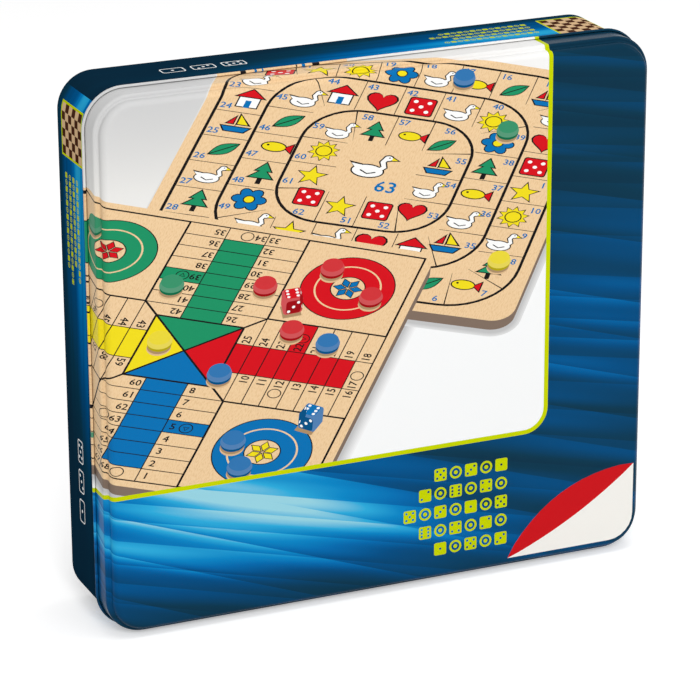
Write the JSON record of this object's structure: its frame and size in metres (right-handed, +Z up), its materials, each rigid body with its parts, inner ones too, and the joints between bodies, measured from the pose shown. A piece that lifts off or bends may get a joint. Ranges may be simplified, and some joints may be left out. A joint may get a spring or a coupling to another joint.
{
  "type": "game tin with double-sided board",
  "caption": "Rectangular tinplate game tin with a lift-off slip lid, holding a double-sided wooden game board in a thermoformed tray with counters and dice.",
  "frame": {"origin": "on the floor below the middle of the standing tin", "axes": "+X along the width, +Y from the lid's panel to the back, +Z up"},
  "size_m": [0.2434, 0.05, 0.2274],
  "materials": {
    "printed_tinplate_lid": "gloss lithographed",
    "printed_tinplate_base": "gloss lithographed",
    "thermoformed_plastic": "satin",
    "printed_beech": "satin varnish",
    "paper": "uncoated",
    "red_counter": "gloss",
    "blue_counter": "gloss",
    "green_counter": "gloss",
    "yellow_counter": "gloss",
    "red_die": "gloss, white pips",
    "blue_die": "gloss, white pips"
  },
  "bodies": {
    "base": {"tin_base": "printed_tinplate_base", "insert_tray": "thermoformed_plastic"},
    "lid": {"tin_lid": "printed_tinplate_lid"},
    "leaflet": {"rules_leaflet": "paper"},
    "board": {"game_board": "printed_beech"},
    "die_red": {"die_red": "red_die"},
    "die_blue": {"die_blue": "blue_die"},
    "counter_red_1": {"counter_red_1": "red_counter"},
    "counter_red_2": {"counter_red_2": "red_counter"},
    "counter_red_3": {"counter_red_3": "red_counter"},
    "counter_red_4": {"counter_red_4": "red_counter"},
    "counter_blue_1": {"counter_blue_1": "blue_counter"},
    "counter_blue_2": {"counter_blue_2": "blue_counter"},
    "counter_blue_3": {"counter_blue_3": "blue_counter"},
    "counter_blue_4": {"counter_blue_4": "blue_counter"},
    "counter_green_1": {"counter_green_1": "green_counter"},
    "counter_green_2": {"counter_green_2": "green_counter"},
    "counter_green_3": {"counter_green_3": "green_counter"},
    "counter_green_4": {"counter_green_4": "green_counter"},
    "counter_yellow_1": {"counter_yellow_1": "yellow_counter"},
    "counter_yellow_2": {"counter_yellow_2": "yellow_counter"},
    "counter_yellow_3": {"counter_yellow_3": "yellow_counter"},
    "counter_yellow_4": {"counter_yellow_4": "yellow_counter"}
  },
  "joints": [
    {"name": "lid_lift", "type": "slide", "parent": "base", "child": "lid", "axis": [0, -1, 0], "range_m": [0, 0.25]},
    {"name": "leaflet_lift", "type": "slide", "parent": "base", "child": "leaflet", "axis": [0, -1, 0], "range_m": [0, 0.2]},
    {"name": "board_lift", "type": "slide", "parent": "base", "child": "board", "axis": [0, -1, 0], "range_m": [0, 0.15]},
    {"name": "die_red_lift", "type": "slide", "parent": "base", "child": "die_red", "axis": [0, -1, 0], "range_m": [0, 0.08]},
    {"name": "die_blue_lift", "type": "slide", "parent": "base", "child": "die_blue", "axis": [0, -1, 0], "range_m": [0, 0.08]},
    {"name": "counter_red_1_lift", "type": "slide", "parent": "base", "child": "counter_red_1", "axis": [0, -1, 0], "range_m": [0, 0.06]},
    {"name": "counter_red_2_lift", "type": "slide", "parent": "base", "child": "counter_red_2", "axis": [0, -1, 0], "range_m": [0, 0.06]},
    {"name": "counter_red_3_lift", "type": "slide", "parent": "base", "child": "counter_red_3", "axis": [0, -1, 0], "range_m": [0, 0.06]},
    {"name": "counter_red_4_lift", "type": "slide", "parent": "base", "child": "counter_red_4", "axis": [0, -1, 0], "range_m": [0, 0.06]},
    {"name": "counter_blue_1_lift", "type": "slide", "parent": "base", "child": "counter_blue_1", "axis": [0, -1, 0], "range_m": [0, 0.06]},
    {"name": "counter_blue_2_lift", "type": "slide", "parent": "base", "child": "counter_blue_2", "axis": [0, -1, 0], "range_m": [0, 0.06]},
    {"name": "counter_blue_3_lift", "type": "slide", "parent": "base", "child": "counter_blue_3", "axis": [0, -1, 0], "range_m": [0, 0.06]},
    {"name": "counter_blue_4_lift", "type": "slide", "parent": "base", "child": "counter_blue_4", "axis": [0, -1, 0], "range_m": [0, 0.06]},
    {"name": "counter_green_1_lift", "type": "slide", "parent": "base", "child": "counter_green_1", "axis": [0, -1, 0], "range_m": [0, 0.06]},
    {"name": "counter_green_2_lift", "type": "slide", "parent": "base", "child": "counter_green_2", "axis": [0, -1, 0], "range_m": [0, 0.06]},
    {"name": "counter_green_3_lift", "type": "slide", "parent": "base", "child": "counter_green_3", "axis": [0, -1, 0], "range_m": [0, 0.06]},
    {"name": "counter_green_4_lift", "type": "slide", "parent": "base", "child": "counter_green_4", "axis": [0, -1, 0], "range_m": [0, 0.06]},
    {"name": "counter_yellow_1_lift", "type": "slide", "parent": "base", "child": "counter_yellow_1", "axis": [0, -1, 0], "range_m": [0, 0.06]},
    {"name": "counter_yellow_2_lift", "type": "slide", "parent": "base", "child": "counter_yellow_2", "axis": [0, -1, 0], "range_m": [0, 0.06]},
    {"name": "counter_yellow_3_lift", "type": "slide", "parent": "base", "child": "counter_yellow_3", "axis": [0, -1, 0], "range_m": [0, 0.06]},
    {"name": "counter_yellow_4_lift", "type": "slide", "parent": "base", "child": "counter_yellow_4", "axis": [0, -1, 0], "range_m": [0, 0.06]}
  ],
  "couplings": [
    {"joint": "leaflet_lift", "follows": "lid_lift", "ratio": 0.8},
    {"joint": "board_lift", "follows": "lid_lift", "ratio": 0.6},
    {"joint": "die_red_lift", "follows": "lid_lift", "ratio": 0.32},
    {"joint": "die_blue_lift", "follows": "lid_lift", "ratio": 0.32},
    {"joint": "counter_red_1_lift", "follows": "lid_lift", "ratio": 0.24},
    {"joint": "counter_red_2_lift", "follows": "lid_lift", "ratio": 0.24},
    {"joint": "counter_red_3_lift", "follows": "lid_lift", "ratio": 0.24},
    {"joint": "counter_red_4_lift", "follows": "lid_lift", "ratio": 0.24},
    {"joint": "counter_blue_1_lift", "follows": "lid_lift", "ratio": 0.24},
    {"joint": "counter_blue_2_lift", "follows": "lid_lift", "ratio": 0.24},
    {"joint": "counter_blue_3_lift", "follows": "lid_lift", "ratio": 0.24},
    {"joint": "counter_blue_4_lift", "follows": "lid_lift", "ratio": 0.24},
    {"joint": "counter_green_1_lift", "follows": "lid_lift", "ratio": 0.24},
    {"joint": "counter_green_2_lift", "follows": "lid_lift", "ratio": 0.24},
    {"joint": "counter_green_3_lift", "follows": "lid_lift", "ratio": 0.24},
    {"joint": "counter_green_4_lift", "follows": "lid_lift", "ratio": 0.24},
    {"joint": "counter_yellow_1_lift", "follows": "lid_lift", "ratio": 0.24},
    {"joint": "counter_yellow_2_lift", "follows": "lid_lift", "ratio": 0.24},
    {"joint": "counter_yellow_3_lift", "follows": "lid_lift", "ratio": 0.24},
    {"joint": "counter_yellow_4_lift", "follows": "lid_lift", "ratio": 0.24}
  ]
}
